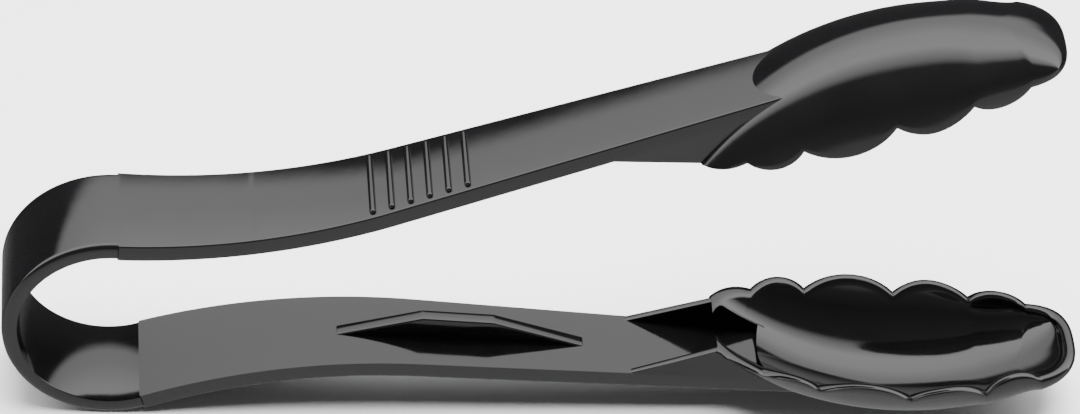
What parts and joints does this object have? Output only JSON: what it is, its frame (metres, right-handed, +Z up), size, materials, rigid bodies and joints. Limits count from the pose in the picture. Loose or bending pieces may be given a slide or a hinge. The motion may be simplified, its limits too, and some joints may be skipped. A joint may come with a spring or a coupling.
{
  "type": "kitchen tongs",
  "caption": "Spring loaded serving tongs: a springy U-shaped bow, two ribbed strap arms and two facing spoon jaws with scalloped rims, moulded in black plastic.",
  "frame": {"origin": "centre of the bounding box at the table the tongs stand on", "axes": "+Z up from the table, +X from the back of the bow to the spoon tips, +Y to the left of someone looking along +X"},
  "size_m": [0.2308, 0.0388, 0.1001],
  "materials": {
    "black_polycarbonate": "glossy moulded"
  },
  "bodies": {
    "lower_jaw": {"lower_arm": "black_polycarbonate", "lower_spoon": "black_polycarbonate", "lower_arm_fin": "black_polycarbonate", "lower_left_neck_flange": "black_polycarbonate", "lower_right_neck_flange": "black_polycarbonate", "lower_grip_rib_1": "black_polycarbonate", "lower_grip_rib_2": "black_polycarbonate", "lower_grip_rib_3": "black_polycarbonate", "lower_grip_rib_4": "black_polycarbonate", "lower_grip_rib_5": "black_polycarbonate", "lower_grip_rib_6": "black_polycarbonate"},
    "bow": {"spring_bow": "black_polycarbonate"},
    "upper_jaw": {"upper_arm": "black_polycarbonate", "upper_spoon": "black_polycarbonate", "upper_arm_fin": "black_polycarbonate", "upper_left_neck_flange": "black_polycarbonate", "upper_right_neck_flange": "black_polycarbonate", "upper_grip_rib_1": "black_polycarbonate", "upper_grip_rib_2": "black_polycarbonate", "upper_grip_rib_3": "black_polycarbonate", "upper_grip_rib_4": "black_polycarbonate", "upper_grip_rib_5": "black_polycarbonate", "upper_grip_rib_6": "black_polycarbonate"}
  },
  "joints": [
    {"name": "lower_flex", "type": "hinge", "parent": "lower_jaw", "child": "bow", "pos_m": [-0.10192, 0, 0.00683], "axis": [0, 1, 0], "range_deg": [0, 10.4], "stiffness_Nm_per_rad": 3.6, "springref_deg": -1.15, "deforming": ["spring_bow"]},
    {"name": "upper_flex", "type": "hinge", "parent": "bow", "child": "upper_jaw", "pos_m": [-0.10638, 0, 0.03511], "axis": [0, 1, 0], "range_deg": [0, 10.4], "stiffness_Nm_per_rad": 3.6, "springref_deg": -1.15, "deforming": ["spring_bow"]}
  ],
  "couplings": [
    {"joint": "upper_flex", "follows": "lower_flex", "ratio": 1}
  ]
}
